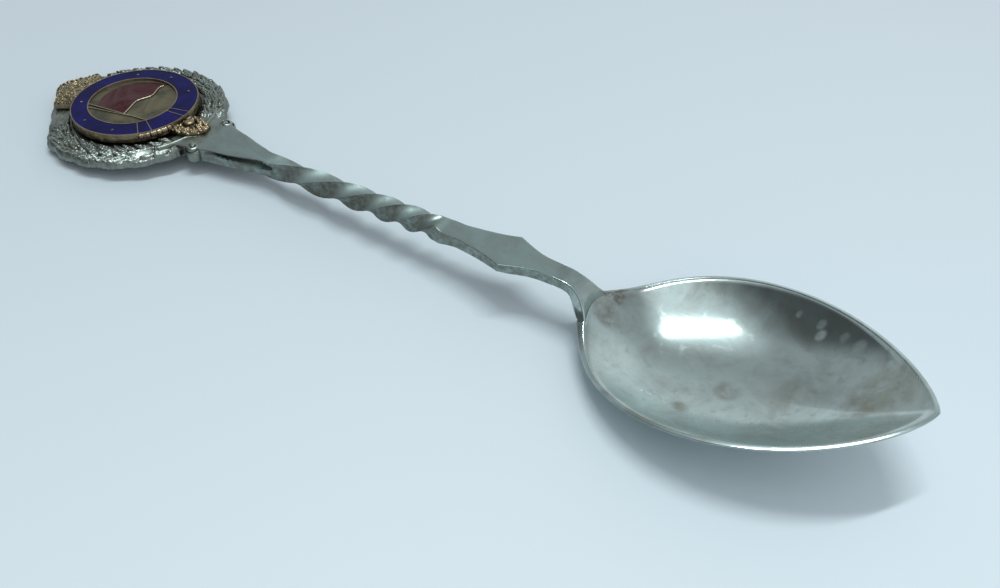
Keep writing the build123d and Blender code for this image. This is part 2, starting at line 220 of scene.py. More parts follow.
class Shader(Nodes):
    """One node material, with fields that follow the object."""

    def __init__(self, name):
        self.material = bpy.data.materials.new(name)
        self.material.use_nodes = True
        super().__init__(self.material.node_tree)
        self.principled = self.tree.nodes["Principled BSDF"]
        coordinates = self.tree.nodes.new("ShaderNodeTexCoord")
        self.place = coordinates.outputs["Object"]
        self.facing = coordinates.outputs["Normal"]

    def set(self, **inputs):
        """Feeds inputs of the surface."""
        for key, value in inputs.items():
            self.feed(self.principled.inputs[key.replace("_", " ")], value)

    def stretched(self, scale, turn):
        """Object coordinates scaled apart along each axis, for streaks and scratches."""
        made = self.node("ShaderNodeMapping", Vector=self.place, Scale=scale, Rotation=(0, 0, turn))
        return made.outputs["Vector"]

    def noise(self, scale, detail=4.0, roughness=0.55, distortion=0.0, place=None):
        """A soft random field, 0 to 1. Scale is in spots per metre."""
        return self.node(
            "ShaderNodeTexNoise", Vector=place or self.place,
            Scale=scale, Detail=detail, Roughness=roughness, Distortion=distortion,
        ).outputs["Fac"]

    def streaks(self, scale, turn):
        """Fine parallel scratches."""
        return self.noise(1.0, 2, 0.5, 0.0, self.stretched(scale, turn))

    def hollows(self, reach, *stops):
        """A ramp over how open the surface is within a reach in metres."""
        hollow = self.node("ShaderNodeAmbientOcclusion", Distance=reach)
        hollow.samples = AO_SAMPLES
        return self.ramp(hollow.outputs["AO"], *stops)

    def axis(self, vector, name):
        """One component of a vector."""
        return self.node("ShaderNodeSeparateXYZ", Vector=vector).outputs[name]

    def near(self, point, radius):
        """1 close to a point given in millimetres, 0 beyond a radius, measured level with the table."""
        flat = self.vector_math("MULTIPLY", self.place, (1, 1, 0))[0]
        away = self.vector_math("DISTANCE", flat, (point[0] * MM, point[1] * MM, 0))["Value"]
        return self.between(away, radius * MM, 0.4 * radius * MM)

    def bump(self, height, strength, distance):
        """Fine relief on the surface, from a height field."""
        made = self.node("ShaderNodeBump", Height=height, Strength=strength, Distance=distance)
        self.feed(self.principled.inputs["Normal"], made.outputs["Normal"])


# The neck's own colours fade in along x between these two places, in metres.
NECK_BEGINS_X, NECK_FULL_X = 0.0222, 0.0185
FAR_WALL_DULLNESS = 0.22
# Mottled brown for sideways faces: partly tarnish, partly painted shade that darkens the sides.
SIDE_GRIME_AND_SHADE = (0.17, 0.155, 0.12)
HOLLOW_REACH, AO_SAMPLES = 0.0011, 8
# A pale stain is a dull film that hides the metal; the other stains only tint it.
BROWN_STAIN, PALE_STAIN = (0.20, 0.175, 0.13), (0.50, 0.54, 0.55)


def silver_material(
    name, clean, tarnish, tarnish_share, polish, relief_tarnish=0.0, side_tarnish_and_shade=0.0, neck=None, stains_and_sheen=(),
    matt=None, cast=False
):
    """Worn polished silver: cloudy tarnish, fine wiping scratches, darker in the hollows, and on its sides a
    mottled brown that is partly tarnish and partly painted shade.

    neck holds the neck's own clean colour, tarnish and polish; matt holds the start and end of a duller
    stretch along x and how much duller it is; cast gives the surface a rough cast grain.
    """
    s = Shader(name)
    clouds = s.noise(190, 6, 0.62, 0.6)
    spots = s.noise(900, 3, 0.5)
    stain = s.ramp(clouds, (0.5 - tarnish_share * 0.35, 0.0), (0.78 - tarnish_share * 0.25, 1.0))
    speckle = s.ramp(spots, (0.56, 0.0), (0.74, 1.0))
    rough = s.plus(s.times(stain, 0.05 if neck else 0.16), polish)
    if neck:
        neck_clean, neck_tarnish, neck_polish = neck
        on_neck = s.between(s.axis(s.place, "X"), NECK_BEGINS_X, NECK_FULL_X)
        clean = s.mix(on_neck, clean, neck_clean)
        rough = s.plus(rough, s.times(on_neck, neck_polish - polish))
        # the wall that faces the far side is rubbed duller
        far_facing = s.between(s.axis(s.facing, "Y"), 0.05, 0.5)
        rough = s.plus(rough, s.times(far_facing, FAR_WALL_DULLNESS))
    if matt:
        start, end, extra = matt
        along = s.axis(s.place, "X")
        after_start = s.between(along, start - 0.002, start)
        before_end = s.between(along, end + 0.001, end - 0.001)
        rough = s.plus(rough, s.times(s.times(after_start, before_end), extra))
    tarnished = s.mix(on_neck, tarnish, neck_tarnish) if neck else tarnish
    colour = s.mix(s.times(stain, 0.75), clean, tarnished)
    colour = s.mix(s.times(speckle, 0.28), colour, [0.6 * c for c in tarnish])
    scratches = s.streaks((600, 9000, 9000), 0.35)
    if relief_tarnish:
        dark = s.hollows(HOLLOW_REACH, (0.35, 1.0), (0.92, 0.0))
        colour = s.mix(s.times(dark, relief_tarnish), colour, [0.28 * c for c in tarnish])
    # Faces turned sideways are painted darker: partly tarnish, partly painted shade.
    if side_tarnish_and_shade:
        sideways = s.between(s.axis(s.facing, "Z"), 0.93, 0.55)
        if neck:
            sideways = s.times(sideways, on_neck)
        mottle = s.ramp(s.noise(1500, 4, 0.65), (0.36, 0.25), (0.62, 1.0))
        soiled_and_shaded = s.times(s.times(sideways, mottle), side_tarnish_and_shade)
        colour = s.mix(soiled_and_shaded, colour, SIDE_GRIME_AND_SHADE)
        rough = s.plus(rough, s.times(soiled_and_shaded, 0.22))
    metallic = 1.0
    # Stains tint the metal; one patch is brighter silver, which is painted sheen.
    for point, radius, share, patch_colour in stains_and_sheen:
        patchy = s.ramp(s.noise(700, 4, 0.7), (0.35, 0.3), (0.6, 1.0))
        here = s.times(s.times(s.near(point, radius), patchy), share)
        colour = s.mix(here, colour, patch_colour)
        rough = s.plus(rough, s.times(here, 0.2))
        if patch_colour == PALE_STAIN:
            metallic = s.math("SUBTRACT", metallic, here)
    rough = s.plus(rough, s.times(speckle, 0.10))
    rough = s.plus(rough, s.times(scratches, 0.08))
    s.set(Base_Color=colour, Metallic=metallic, Roughness=rough)
    if cast:
        s.bump(s.noise(1900, 5, 0.7), 0.35, 0.00011)
        return s.material
    crossing = s.streaks((7000, 500, 7000), -0.2)
    height = s.plus(s.times(scratches, 0.5), s.times(crossing, 0.5))
    height = s.plus(height, s.times(s.noise(420, 3), 0.3 if neck else 0.9))
    s.bump(height, 0.03 if neck else 0.05, 0.00005)
    return s.material


GILT_GRIME, GILT_HOLLOW_REACH = (0.045, 0.032, 0.016), 0.0006


def gilt_material(name, bright, worn, roughness, soiling=0.8):
    """Gilt brass with worn, duller clouds and grime in its hollows."""
    s = Shader(name)
    cloud = s.ramp(s.noise(500, 5, 0.6), (0.38, 0.0), (0.68, 1.0))
    dark = s.hollows(GILT_HOLLOW_REACH, (0.3, 1.0), (0.9, 0.0))
    colour = s.mix(cloud, bright, worn)
    colour = s.mix(s.times(dark, soiling), colour, GILT_GRIME)
    grain = s.noise(5200, 3, 0.6)
    rough = s.plus(s.times(cloud, 0.18), roughness)
    s.set(Base_Color=colour, Metallic=1.0, Roughness=rough)
    s.bump(grain, 0.25, 0.00003)
    return s.material


def enamel_material(name, deep, pale, scratch=0.5, cloud_scale=420):
    """Enamel with faint clouds in its colour, pits and fine scratches, its gloss mostly worn off."""
    s = Shader(name)
    cloud = s.ramp(s.noise(cloud_scale, 5, 0.6, 0.8), (0.42, 0.0), (0.72, 1.0))
    line = s.ramp(s.streaks((700, 8000, 4000), 0.5), (0.62, 0.0), (0.72, 1.0))
    colour = s.mix(cloud, deep, pale)
    scratched = [min(1, 1.8 * c + 0.02) for c in pale]
    colour = s.mix(s.times(line, scratch * 0.25), colour, scratched)
    rough = s.plus(s.times(line, 0.25), 0.22)
    s.set(Base_Color=colour, Roughness=rough, Specular_IOR_Level=0.1)
    pits = s.ramp(s.noise(3800, 2), (0.66, 0.0), (0.8, 1.0))
    s.bump(s.math("SUBTRACT", s.noise(600, 4), s.times(pits, 0.6)), 0.12, 0.00004)
    return s.material


SILVER_CLEAN = (0.545, 0.655, 0.655)
SILVER_TARNISH = (0.31, 0.34, 0.30)
STEM_CLEAN, STEM_TARNISH = (0.36, 0.465, 0.46), (0.205, 0.23, 0.21)
HEEL_STAIN, TIP_STAIN, PAINTED_SHEEN_SILVER = (0.15, 0.125, 0.10), (0.30, 0.30, 0.21), (0.74, 0.86, 0.82)
# Each stain is its place in millimetres seen from above, its radius, its strength and its colour; the
# brighter silver patch beside the heel is no stain but painted sheen.
BOWL_STAINS_AND_SHEEN = (
    ((22.9, 3.9), 2.6, 0.85, HEEL_STAIN),
    ((25.3, 6.2), 3.0, 0.45, HEEL_STAIN),
    ((23.6, 0.6), 2.2, 0.55, HEEL_STAIN),
    # a patch of brighter silver near the heel: painted sheen that lifts the bowl's floor there
    ((26.6, -3.4), 3.8, 0.6, PAINTED_SHEEN_SILVER),
    ((38.9, -0.7), 1.9, 0.55, BROWN_STAIN),
    ((51.3, 0.5), 2.3, 0.5, BROWN_STAIN),
    ((35.5, -5.7), 1.2, 0.5, BROWN_STAIN),
    ((53.0, 2.4), 3.4, 0.5, TIP_STAIN),
    ((44.6, 9.5), 0.6, 0.35, PALE_STAIN),
    ((45.0, 8.5), 0.7, 0.4, PALE_STAIN),
    ((47.3, 8.3), 0.6, 0.25, PALE_STAIN),
    ((42.0, 10.3), 0.45, 0.25, PALE_STAIN),
    ((49.0, 7.4), 0.8, 0.2, PALE_STAIN),
)
bowl_silver = silver_material(
    "bowl_silver", SILVER_CLEAN, SILVER_TARNISH, 0.22, 0.085,
    side_tarnish_and_shade=0.75, neck=(STEM_CLEAN, STEM_TARNISH, 0.17), stains_and_sheen=BOWL_STAINS_AND_SHEEN
)
stem_silver = silver_material(
    "stem_silver", STEM_CLEAN, STEM_TARNISH, 0.45, 0.17, 0.9, 0.8, matt=(-0.0215, 0.0005, 0.3)
)
wreath_silver = silver_material(
    "wreath_silver", (0.375, 0.44, 0.42), (0.165, 0.175, 0.15), 0.5, 0.2, 0.9, 0.45, cast=True
)
gilt = gilt_material("gilt", (0.46, 0.365, 0.245), (0.21, 0.17, 0.125), 0.26)
# The wires' paler gilt is partly their polish and partly painted light that lifts them out of the shade of
# their recess.
wire_gilt_with_painted_light = gilt_material("wire_gilt_with_painted_light", (0.66, 0.58, 0.42), (0.50, 0.43, 0.31), 0.2, 0.15)
clasp_gilt = gilt_material("clasp_gilt", (0.44, 0.355, 0.22), (0.13, 0.105, 0.07), 0.2, 0.9)
crest_gilt = gilt_material("crest_gilt", (0.37, 0.305, 0.19), (0.21, 0.19, 0.14), 0.34)
blue_enamel = enamel_material("blue_enamel", (0.003, 0.003, 0.048), (0.007, 0.007, 0.125))
red_enamel = enamel_material("red_enamel", (0.045, 0.002, 0.006), (0.085, 0.044, 0.048), 0.9, 230)
olive_enamel = enamel_material("olive_enamel", (0.058, 0.058, 0.044), (0.15, 0.132, 0.080), 0.6, 260)


# ---- bowl ----
# The same driving sizes as the CAD bowl, in millimetres.
HEEL_X, TIP_X = 21.9, 57.9
HEEL_Z, TIP_Z = 1.9, 10.45
HALF_WIDTH, DEPTH = 12.85, 5.34
RIM_CROWN = 0.46
RIM_WALL, FLOOR_WALL, RIM_SLOPE, RIM_ROUNDING = 0.55, 0.75, 0.09, 0.13
TIP_INSET = 1.2
HEEL_POWER, TIP_POWER, WIDEST_SHARE = 0.557, 0.72, 0.436
# Beyond the CAD: a tongue of the heel's rim leans back and rises up the neck, and the rim swells there.
TONGUE_RISE, TONGUE_WIDTH, TONGUE_LEAN = 2.55, 4.6, -0.28
TONGUE_FULL, TONGUE_GONE = 0.04, 0.16
HEEL_SWELL, HEEL_SWELL_WIDTH, HEEL_SWELL_END = 0.5, 4.5, 0.3
BOWL_LENGTH = math.hypot(TIP_X - HEEL_X, TIP_Z - HEEL_Z)
BOWL_U = np.array([(TIP_X - HEEL_X) / BOWL_LENGTH, 0, (TIP_Z - HEEL_Z) / BOWL_LENGTH])
BOWL_N = np.array([-BOWL_U[2], 0, BOWL_U[0]])
BOWL_V = np.array([0, 1.0, 0])
DEEPEST = 0.5 * BOWL_LENGTH
AROUND, DOWN = 128, 60
ALONG_POWER, ACROSS_POWER = 0.47, 0.41
LEVEL_CROWDING, LOWEST_LEVEL = 2.3, 0.99995


def rim_half_width(share):
    """Half width of the rim at a share of the bowl's length."""
    peak = WIDEST_SHARE**HEEL_POWER * (1 - WIDEST_SHARE) ** TIP_POWER
    return HALF_WIDTH * share**HEEL_POWER * (1 - share) ** TIP_POWER / peak


def bowl_ring(level, depth, inset, lift=0.0, swell=0.0):
    """One closed ring of the bowl at a share of its depth, inset from the rim."""
    turn = np.arange(2 * AROUND) * math.pi / AROUND
    share = (1 - np.cos(turn)) / 2
    side = np.where(turn <= math.pi, 1.0, -1.0)
    across = side * rim_half_width(share) * (1 - inset / HALF_WIDTH)
    along = inset + share * (BOWL_LENGTH - (1 + TIP_INSET) * inset)
    left = max(1 - level, 0.0)
    crown = RIM_CROWN * 4 * share * (1 - share) * (1 - level) ** 2
    u = DEEPEST + (along - DEEPEST) * left**ALONG_POWER
    v = across * left**ACROSS_POWER
    n = -level * depth + crown + lift
    at_heel = 1 - smoothstep(TONGUE_FULL, TONGUE_GONE, share)
    rise = TONGUE_RISE * hump(v, 0, TONGUE_WIDTH) * at_heel * (1 - level) ** 3
    origin = np.array([HEEL_X, 0, HEEL_Z])
    ring = origin + u[:, None] * BOWL_U + v[:, None] * BOWL_V + n[:, None] * BOWL_N
    bulge = hump(v, 0, HEEL_SWELL_WIDTH) * (share < HEEL_SWELL_END)
    ring[:, 0] -= swell * bulge * (1 - level) ** 1.5
    return ring + rise[:, None] * np.array([TONGUE_LEAN, 0, 1])


def bowl_mesh():
    """Outer skin from the bottom up, over the flat rim with soft edges, and down the inside."""
    levels = 1 - (1 - np.linspace(0, 1, DOWN)) ** LEVEL_CROWDING
    levels = [level for level in levels[1:] if level < LOWEST_LEVEL]
    edge, wall = RIM_ROUNDING, RIM_WALL
    rings = [bowl_ring(level, DEPTH, 0, 0, HEEL_SWELL) for level in reversed(levels)]
    for turn in np.radians(np.linspace(0, 75, 6)):
        drop = edge * (math.sin(turn) - 1) - RIM_SLOPE
        rings.append(bowl_ring(0, DEPTH, edge * (1 - math.cos(turn)), drop, HEEL_SWELL))
    for turn in np.radians(np.linspace(75, 180, 7)):
        rings.append(bowl_ring(0, DEPTH, wall - edge * (1 + math.cos(turn)), edge * (math.sin(turn) - 1)))
    inside = [bowl_ring(level, DEPTH - FLOOR_WALL, wall) for level in levels]
    return loft(rings + inside)


# Stations of the neck from inside the heel to the stem: x, z of the middle, half width, thickness, how far
# the strip's ends bow towards the bowl, and its lean in degrees.
NECK_STATIONS = np.array([
    (24.7, 1.75, 1.3, 0.25, 0.3, 38),
    (23.5, 2.35, 2.4, 0.45, 0.5, 48),
    (22.45, 3.0, 3.0, 0.7, 0.6, 62),
    (21.75, 3.7, 2.8, 1.0, 0.4, 74),
    (21.2, 4.5, 2.2, 1.25, 0.15, 66),
    (20.45, 5.4, 1.6, 1.25, 0.0, 42),
    (19.4, 6.0, 1.31, 1.2, 0.0, 14),
    (18.4, 6.16, 1.3, 1.2, 0.0, 2),
    (17.4, 6.15, 1.3, 1.2, 0.0, -3),
])
NECK_RINGS, NECK_ROUNDING, NECK_THINNING = 90, 0.16, 0.5


def neck_mesh():
    """The neck: a strip as curved as the heel's rim, which narrows and thickens up to the stem."""
    at = np.linspace(0, len(NECK_STATIONS) - 1, NECK_RINGS)
    index = np.arange(len(NECK_STATIONS))
    columns = [spline_through(index, column, at) for column in NECK_STATIONS.T]
    x, z, half_width, thickness, bow, lean = columns
    thinning = NECK_THINNING * (1 - smoothstep(0.5, 3.5, at))
    rings = []
    for i in range(len(at)):
        rounding = min(NECK_ROUNDING, thickness[i] * 0.35)
        section = rounded_section(half_width[i], thickness[i] / 2, rounding)
        across, through = section[:, 0], section[:, 1]
        angle = math.radians(lean[i])
        # "through" points out of the top face: up on the stem, and towards the bowl where the neck stands
        up = np.array([math.sin(angle), 0, math.cos(angle)])
        outwards = np.abs(across) / half_width[i]
        through = through * (1 - thinning[i] * outwards**2)
        ring = np.array([x[i], 0, z[i]]) + across[:, None] * BOWL_V + through[:, None] * up
        ring[:, 0] += bow[i] * outwards**1.8
        rings.append(ring)
    return loft(rings)


# ---- stem ----
SIDE_POINTS, CORNER_POINTS = 20, 4
CORNERS = ((1, 1), (-1, 1), (-1, -1), (1, -1))


def rounded_section(half_width, half_height, radius, hollow=0.0):
    """A rectangle with rounded corners and, if need be, hollow sides."""
    points = []
    for corner, (sx, sy) in enumerate(CORNERS):
        centre = np.array([sx * (half_width - radius), sy * (half_height - radius)])
        for i in range(CORNER_POINTS):
            angle = math.radians(90 * corner + 90 * i / (CORNER_POINTS - 1))
            points.append(centre + radius * np.array([math.cos(angle), math.sin(angle)]))
        start = points[-1]
        next_sx, next_sy = CORNERS[(corner + 1) % 4]
        angle = math.radians(90 * corner + 90)
        out = np.array([math.cos(angle), math.sin(angle)])
        end = np.array([next_sx * (half_width - radius), next_sy * (half_height - radius)]) + radius * out
        for i in range(1, SIDE_POINTS):
            share = i / SIDE_POINTS
            points.append(start + (end - start) * share - out * hollow * (4 * share * (1 - share)) ** 0.8)
    return np.array(points)


# The flare lies on the finial plate, between its own start and the start of the stem.
FLARE_START_X, STEM_START_X, STEM_END_X = -37.2, -32.2, 17.4
TWIST_START_X, TWIST_END_X, TWIST_TURNS = -22.3, 2.0, 1.25
FLUTE_START_X, FLUTE_END_X, FLUTE_DEPTH = -31.8, -21.7, 0.85
SHOULDER_X = 11.3
ARCH_START_X, ARCH_LENGTH = 0.35, 40
# Beyond the twist the strap's top stands this high above the twist's centreline.
STRAP_TOP, STRAP_FULL_X = 0.85, 3.6
CORNER_RADIUS, TWIST_SHARPENING, TWIST_HOLLOW = 0.10, 0.07, 0.09
# Half widths of the stem's top face, (x, half width), up to the shoulder and beyond it.
WIDTHS_TO_SHOULDER = (
    (FLARE_START_X, 3.9), (-35.5, 3.85), (-33.6, 3.6), (STEM_START_X, 3.3), (-30.3, 2.75), (-28.3, 2.35),
    (-26.3, 1.8), (-24.8, 1.4), (-23.3, 1.1), (TWIST_END_X, 1.1), (2.7, 1.28), (3.5, 1.42), (4.8, 1.38),
    (6.4, 1.6), (8.4, 1.95), (10.2, 2.42), (SHOULDER_X, 2.85),
)
WIDTHS_FROM_SHOULDER = (
    (SHOULDER_X, 2.85), (12.2, 2.45), (13.6, 1.88), (14.8, 1.5), (16.0, 1.34), (STEM_END_X, 1.3),
)
# Half thicknesses of the bar, (x, half thickness).
THICKNESSES = (
    (FLARE_START_X, 0.35), (-36.6, 0.42), (-34.5, 0.735), (STEM_START_X, 0.95), (-26.5, 1.0), (-24.2, 1.1),
    (TWIST_END_X, 1.1), (STRAP_FULL_X, 0.8), (6.0, 0.68), (10.0, 0.6), (SHOULDER_X, 0.5), (12.5, 0.6),
    (15.0, 0.62), (STEM_END_X, 0.6),
)


def stem_height(x):
    """Height of the bar's centreline; where it runs into the finial it drops onto the plate."""
    share = (x - ARCH_START_X) / ARCH_LENGTH
    on_plate = spline_through((FLARE_START_X, -36.6, -34.5, STEM_START_X), (2.10, 2.18, 2.415, 2.526), x)
    return np.where(x < STEM_START_X, on_plate, 4.92 + 3.23 * share - 1.38 * share**2 - 2.13 * share**3)


def stem_half_width(x):
    """Half width of the stem's top face, with a sharp corner at the shoulder."""
    left = spline_through(*zip(*WIDTHS_TO_SHOULDER), np.minimum(x, SHOULDER_X))
    right = spline_through(*zip(*WIDTHS_FROM_SHOULDER), np.maximum(x, SHOULDER_X))
    return np.where(x <= SHOULDER_X, left, right)


def stem_half_height(x):
    """Half the bar's thickness: square where it is twisted, a thinner strap beyond the twist."""
    return spline_through(*zip(*THICKNESSES), x)


def flute(x, share):
    """Depth of the groove in the side of the flare, at a share of the way down from the top edge."""
    rounded_end = np.sqrt(np.clip((FLUTE_END_X - x) / 1.8, 0, 1))
    reach = smoothstep(FLUTE_START_X, -28.0, x) * rounded_end
    full_span = 0.20 + 0.32 * smoothstep(FLUTE_START_X, -25.0, x)
    span = full_span * (0.12 + 0.88 * rounded_end)
    place = np.clip((share - 0.06 - 0.55 * (full_span - span)) / span, 0, 1)
    return FLUTE_DEPTH * reach * np.sin(math.pi * place**0.7) ** 0.9


def bar_ring(x):
    """One section of the bar: flared and fluted, or twisted and square, or a plain strap."""
    half_width, half_height = float(stem_half_width(x)), float(stem_half_height(x))
    share = np.clip((x - TWIST_START_X) / (TWIST_END_X - TWIST_START_X), 0, 1)
    turned = -math.pi * TWIST_TURNS * (share + share**2)
    into_twist = smoothstep(TWIST_START_X - 1, TWIST_START_X + 2.5, x)
    in_twist = into_twist * (1 - smoothstep(0.8, TWIST_END_X, x))
    radius = CORNER_RADIUS - TWIST_SHARPENING * in_twist
    hollow = TWIST_HOLLOW * in_twist
    # a turn and a quarter brings the bar's other pair of faces to the top
    halves = (half_height, half_width) if x > TWIST_END_X else (half_width, half_height)
    section = rounded_section(*halves, radius, hollow)
    if x < FLUTE_END_X:
        on_side = np.abs(section[:, 0]) > half_width - radius
        share_down = (half_height - section[:, 1]) / (2 * half_height)
        section[:, 0] -= np.where(on_side, np.sign(section[:, 0]) * flute(x, share_down), 0)
    c, s = math.cos(turned), math.sin(turned)
    y = section[:, 0] * c - section[:, 1] * s
    z = section[:, 0] * s + section[:, 1] * c
    centre = stem_height(x) + (STRAP_TOP - half_height) * smoothstep(TWIST_END_X, STRAP_FULL_X, x)
    return np.stack([np.full_like(y, x), y, centre + z], 1)


def stem_mesh():
    """A flat bar that flares to the finial, twists as a square and broadens at the shoulder."""
    x = np.unique(np.concatenate([np.linspace(STEM_START_X, STEM_END_X, 420), [SHOULDER_X]]))
    return loft([bar_ring(value) for value in x])


def ride(piece, *nodes):
    """Puts a piece on the spoon's one body, in the place of CAD nodes."""
    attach(piece, "root")
    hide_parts(*nodes)


neck = make_object("neck_blank", *neck_mesh(), bowl_silver)
bowl = make_object("bowl_shell", *bowl_mesh(), bowl_silver)
unite(bowl, neck)
finish_mesh(bowl, bowl_silver, 40)
ride(bowl, "bowl")

ride(make_object("twisted_stem", *stem_mesh(), stem_silver, 30), "stem")


# ---- finial ----
# Points of the finial are (x, y, height) from the middle of the plate's back, in millimetres.
FINIAL_X, REST_REACH = -45.25, 11.6
PLATE_CENTRE, PLATE_RADIUS = (0.25, -0.45), 11.85
FINIAL_TILT = math.radians(4.85)
# One stretch of the edge is worn flat; it ends where the edge turns away from the flat by this cosine.
FLAT_ANGLE, FLAT_REACH, FLAT_COSINE = math.radians(-136), 11.1, 0.8
SCALLOPS, SCALLOP_DEPTH = 21, 0.3
LEAF_PITCH = 360 / SCALLOPS
CORE = 0.02


def on_finial(points):
    """Points of the finial plate's own frame, tilted and moved to their place."""
    points = np.asarray(points, float)
    sine, cosine = math.sin(FINIAL_TILT), math.cos(FINIAL_TILT)
    x = FINIAL_X + points[..., 0] * cosine - points[..., 2] * sine
    z = REST_REACH * sine + points[..., 0] * sine + points[..., 2] * cosine
    return np.stack([x, points[..., 1], z], -1)


def relief_disc(centre, reach_at, height, base, steps, around, inner=0.0, edge=0.12):
    """A closed slab with a soft edge over an outline round its centre; height raises its top."""
    angle = np.arange(around) * 2 * math.pi / around
    reach = reach_at(angle)
    radii = [inner + (1 - inner) * share for share in np.linspace(1, 0, steps + 1)[:-1]]

    def ring(share, offset, level):
        r = reach * share - offset
        x, y = centre[0] + r * np.cos(angle), centre[1] + r * np.sin(angle)
        z = height(x, y) if level is None else np.full(around, level)
        return np.stack([x, y, z], 1)

    shoulder, top_edge = ring(1, 0, None), ring(1, edge * 0.35, None)
    shoulder[:, 2] = top_edge[:, 2] - edge
    top_edge[:, 2] -= edge * 0.3
    foot = [ring(CORE, 0, base), ring(1, edge * 0.6, base), ring(1, 0, base + edge * 0.6)]
    top = [ring(share, edge, None) for share in radii] + [ring(max(inner, CORE), 0, None)]
    points, faces = loft([*foot, shoulder, top_edge, *top])
    return on_finial(points), faces


LEAVES_IN_ROW, LEAF_SPACING = 17, 0.55 * LEAF_PITCH
LEAF_HALF_LENGTH, LEAF_HALF_WIDTH, LEAF_HEIGHT = 1.35, 0.56, 0.30
VEIN_DEPTH, VEIN_WIDTH = 0.12, 0.07
# Rows of leaves: the radius of their middles, where the first one stands and how far they splay.
LEAF_ROWS = ((11.25, 2.2, 24), (10.2, 1.8, 2), (9.2, 2.3, -20))


def leaf_row(x, y, r, radius, first, splay, rng):
    """Height of one row of small rough leaves, the same on both sides of the spoon's axis."""
    around = np.degrees(np.arctan2(np.abs(y), x))
    far_side = (y > 0).astype(int)
    best = np.zeros_like(r)
    for i in range(LEAVES_IN_ROW):
        for side in (0, 1):
            wobble, size, lift = rng.uniform(-14, 14), rng.uniform(0.8, 1.15), rng.uniform(-0.06, 0.07)
            middle = (i + first + rng.uniform(-0.15, 0.15)) * LEAF_SPACING
            t = np.radians(around - middle) * radius
            d = r - radius - rng.uniform(-0.12, 0.12)
            turn = math.radians(splay + wobble)
            c, s = math.cos(turn), math.sin(turn)
            p, q = (t * c + d * s) / size, -t * s + d * c
            inside = np.clip(1 - (np.abs(p + 0.1) / LEAF_HALF_LENGTH) ** 2, 0, 1)
            width = LEAF_HALF_WIDTH * size * inside**0.85 + 1e-6
            vein = VEIN_DEPTH * hump(q, 0, VEIN_WIDTH) * inside * (np.abs(q) < width)
            leaf = (LEAF_HEIGHT + lift + 0.10 * p) * round_top(q / width) - vein
            best = np.where(far_side == side, np.maximum(best, leaf), best)
    return best


def plate_reach(angle):
    """Distance from the badge's middle to the plate's round edge, whose own middle lies beside it."""
    along = PLATE_CENTRE[0] * np.cos(angle) + PLATE_CENTRE[1] * np.sin(angle)
    aside = PLATE_CENTRE[0] * np.sin(angle) - PLATE_CENTRE[1] * np.cos(angle)
    reach = along + np.sqrt(PLATE_RADIUS**2 - aside**2)
    to_flat = np.cos(angle - FLAT_ANGLE)
    flat = FLAT_REACH / np.maximum(to_flat, FLAT_COSINE)
    return np.where(to_flat > FLAT_COSINE, np.minimum(reach, flat), reach)


def plate_outline(angle):
    """The plate's edge: twenty-one shallow scallops, roughly cast between the leaf ends."""
    lobe = (np.degrees(angle) % 360) / LEAF_PITCH % 1
    rough_cast = 0.05 * np.sin(83 * angle) * np.sin(31 * angle + 1) + 0.03 * np.sin(127 * angle + 2)
    return plate_reach(angle) - SCALLOP_DEPTH * (2 * lobe - 1) ** 2 + rough_cast


RIBBON_TOP, RIBBON_TOP_RADIUS, RIBBON_SLOPE, RIBBON_BOW = 1.44, 9.8, 0.57, 0.11
RIBBON_STARTS, RIBBON_ENDS, RIBBON_SLANT, RIBBON_SOFTNESS = (10.0, 10.35), (11.25, 10.95), 0.22, 0.12
# The wreath's two ribbons: the middle in degrees, the half width, and the tilt along the wreath.
RIBBONS = ((42.0, 1.55, 0.17), (27.0, 1.25, 0.06))


def ribbon(height, r, around, middle, half_width, tilt):
    """Lays a ribbon over the wreath: a plain bevel that faces outwards."""
    off = np.radians(around - middle) * r
    dents = 0.012 * np.sin(9 * off + 3 * r) * np.sin(7 * r)
    strap = RIBBON_TOP - RIBBON_SLOPE * (r - RIBBON_TOP_RADIUS) + tilt * off - RIBBON_BOW * off**2 + dents
    share = smoothstep(half_width + RIBBON_SOFTNESS, half_width - RIBBON_SOFTNESS, np.abs(off))
    slanted = r - RIBBON_SLANT * off
    share = share * smoothstep(*RIBBON_STARTS, slanted) * smoothstep(*RIBBON_ENDS, slanted)
    return height * (1 - share) + strap * share


WREATH_INNER, WREATH_WIDTH, WREATH_MIDDLE = 8.2, 3.75, 10.1
WREATH_BASE, WREATH_DOME, WREATH_HALF_WIDTH = 0.62, 0.40, 1.85
COLLAR_FULL, COLLAR_GONE = 17, 22
RIDGE_TOP, RIDGE_END, RUBBED_FROM, RUBBED_TO = 1.36, 31, 120, 138
LEAF_SEED = 7


